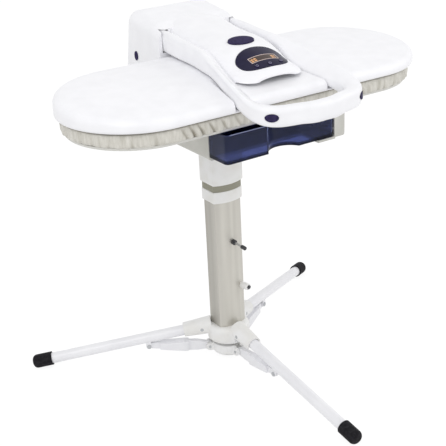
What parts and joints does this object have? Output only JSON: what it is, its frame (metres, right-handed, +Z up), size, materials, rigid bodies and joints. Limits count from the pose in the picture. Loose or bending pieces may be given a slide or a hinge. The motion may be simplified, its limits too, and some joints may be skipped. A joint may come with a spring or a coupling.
{
  "type": "steam ironing press on tripod stand",
  "caption": "Stadium-shaped steam ironing press with hinged heated platen, U-shaped handle, control panel and drawer water tank, on a height-adjustable column with folding tripod legs.",
  "frame": {"origin": "centre of the footprint on the floor", "axes": "+X to the right along the pressing board, +Y to the back where the hinge is, +Z up"},
  "size_m": [0.812, 0.7007, 0.7981],
  "materials": {
    "white_plastic": "glossy moulded",
    "white_paint": "powder coated",
    "aluminium": "satin anodised",
    "grey_plastic": "fine texture",
    "navy_plastic": "glossy moulded",
    "tank_plastic": "tinted translucent",
    "rubber": "matte",
    "board_fabric": "woven cotton",
    "steel": "zinc plated",
    "chrome": "polished",
    "black_plastic": "matte",
    "display": "backlit",
    "circuit_board": "solder mask"
  },
  "bodies": {
    "column": {"outer_column": "aluminium", "column_collar": "white_plastic", "leg_hub": "white_paint", "leg_pivot_pins": "steel", "height_pin_bush": "black_plastic", "lock_boss": "white_paint"},
    "lower_hub": {"lower_hub": "white_paint", "lower_hub_pins": "steel", "slider_tube": "steel"},
    "mast": {"inner_mast": "aluminium", "mount_sleeve": "white_plastic", "bumper_ring": "grey_plastic", "mount_plate": "steel", "mount_screws": "steel", "base_housing": "grey_plastic", "cord_gland": "rubber", "pump": "grey_plastic", "board_pan": "grey_plastic", "board_pad": "board_fabric", "hinge_bracket": "steel", "hinge_pin": "steel"},
    "tank": {"water_tank": "tank_plastic", "tank_valve": "rubber"},
    "press": {"platen_cover": "white_plastic", "heating_plate": "aluminium", "heating_element": "steel", "arm_frame": "steel", "arm_cover": "white_plastic", "panel_lens": "navy_plastic", "lcd_module": "display", "control_board": "circuit_board", "hinge_caps": "navy_plastic"},
    "handle": {"handle": "white_plastic", "handle_shaft": "steel"},
    "handle_button_left": {"handle_button_left": "navy_plastic"},
    "handle_button_right": {"handle_button_right": "navy_plastic"},
    "steam_button": {"steam_button": "navy_plastic"},
    "panel_key_1": {"panel_key_1": "navy_plastic"},
    "panel_key_2": {"panel_key_2": "navy_plastic"},
    "panel_key_3": {"panel_key_3": "navy_plastic"},
    "lock_knob": {"lock_knob": "white_plastic", "lock_plunger": "steel", "lock_knob_cap": "black_plastic"},
    "height_pin": {"height_pin": "chrome", "height_pin_tip": "black_plastic"},
    "leg_front": {"leg_front": "white_paint", "leg_knuckle_front": "grey_plastic", "foot_front": "rubber", "strut_pin_front": "steel"},
    "strut_front": {"strut_front": "white_paint"},
    "leg_right": {"leg_right": "white_paint", "leg_knuckle_right": "grey_plastic", "foot_right": "rubber", "strut_pin_right": "steel"},
    "strut_right": {"strut_right": "white_paint"},
    "leg_left": {"leg_left": "white_paint", "leg_knuckle_left": "grey_plastic", "foot_left": "rubber", "strut_pin_left": "steel"},
    "strut_left": {"strut_left": "white_paint"}
  },
  "joints": [
    {"name": "leg_fold_front", "type": "hinge", "parent": "column", "child": "leg_front", "pos_m": [0, 0.0486, 0.076], "axis": [1, 0, 0], "range_deg": [0, 70.02]},
    {"name": "strut_turn_front", "type": "hinge", "parent": "leg_front", "child": "strut_front", "pos_m": [0, -0.07666, 0.03588], "axis": [1, 0, 0], "range_deg": [-147.6, 0]},
    {"name": "leg_fold_right", "type": "hinge", "parent": "column", "child": "leg_right", "pos_m": [0.05369, 0.1416, 0.076], "axis": [-0.5, 0.866, 0], "range_deg": [0, 70.02]},
    {"name": "strut_turn_right", "type": "hinge", "parent": "leg_right", "child": "strut_right", "pos_m": [0.16217, 0.20423, 0.03588], "axis": [-0.5, 0.866, 0], "range_deg": [-147.6, 0]},
    {"name": "leg_fold_left", "type": "hinge", "parent": "column", "child": "leg_left", "pos_m": [-0.05369, 0.1416, 0.076], "axis": [-0.5, -0.866, 0], "range_deg": [0, 70.02]},
    {"name": "strut_turn_left", "type": "hinge", "parent": "leg_left", "child": "strut_left", "pos_m": [-0.16217, 0.20423, 0.03588], "axis": [-0.5, -0.866, 0], "range_deg": [-147.6, 0]},
    {"name": "lower_hub_slide", "type": "slide", "parent": "column", "child": "lower_hub", "axis": [0, 0, -1], "range_m": [0, 0.2223]},
    {"name": "height_slide", "type": "slide", "parent": "column", "child": "mast", "axis": [0, 0, 1], "range_m": [0, 0.14]},
    {"name": "press_open", "type": "hinge", "parent": "mast", "child": "press", "pos_m": [0, 0.2686, 0.704], "axis": [-1, 0, 0], "range_deg": [0, 55]},
    {"name": "handle_lock", "type": "hinge", "parent": "press", "child": "handle", "pos_m": [0, 0.1766, 0.747], "axis": [-1, 0, 0], "range_deg": [0, 8]},
    {"name": "handle_button_left_press", "type": "slide", "parent": "handle", "child": "handle_button_left", "axis": [0.5, 0.866, 0], "range_m": [0, 0.0025], "stiffness_N_per_m": 600},
    {"name": "handle_button_right_press", "type": "slide", "parent": "handle", "child": "handle_button_right", "axis": [-0.5, 0.866, 0], "range_m": [0, 0.0025], "stiffness_N_per_m": 600},
    {"name": "steam_button_press", "type": "slide", "parent": "press", "child": "steam_button", "axis": [0, 0.1392, -0.9903], "range_m": [0, 0.0025], "stiffness_N_per_m": 600},
    {"name": "panel_key_1_press", "type": "slide", "parent": "press", "child": "panel_key_1", "axis": [0, 0.3746, -0.9272], "range_m": [0, 0.0012], "stiffness_N_per_m": 600},
    {"name": "panel_key_2_press", "type": "slide", "parent": "press", "child": "panel_key_2", "axis": [0, 0.3746, -0.9272], "range_m": [0, 0.0012], "stiffness_N_per_m": 600},
    {"name": "panel_key_3_press", "type": "slide", "parent": "press", "child": "panel_key_3", "axis": [0, 0.3746, -0.9272], "range_m": [0, 0.0012], "stiffness_N_per_m": 600},
    {"name": "tank_slide", "type": "slide", "parent": "mast", "child": "tank", "axis": [0, -1, 0], "range_m": [0, 0.15]},
    {"name": "lock_knob_pull", "type": "slide", "parent": "column", "child": "lock_knob", "axis": [0.2079, -0.9781, 0], "range_m": [0, 0.008], "stiffness_N_per_m": 500},
    {"name": "height_pin_pull", "type": "slide", "parent": "column", "child": "height_pin", "axis": [0, -1, 0], "range_m": [0, 0.008], "stiffness_N_per_m": 500}
  ],
  "couplings": [
    {"joint": "leg_fold_front", "follows": "lower_hub_slide", "rad_per_m": 5.4958},
    {"joint": "strut_turn_front", "follows": "lower_hub_slide", "rad_per_m": -11.549},
    {"joint": "leg_fold_right", "follows": "lower_hub_slide", "rad_per_m": 5.4958},
    {"joint": "strut_turn_right", "follows": "lower_hub_slide", "rad_per_m": -11.549},
    {"joint": "leg_fold_left", "follows": "lower_hub_slide", "rad_per_m": 5.4958},
    {"joint": "strut_turn_left", "follows": "lower_hub_slide", "rad_per_m": -11.549}
  ]
}
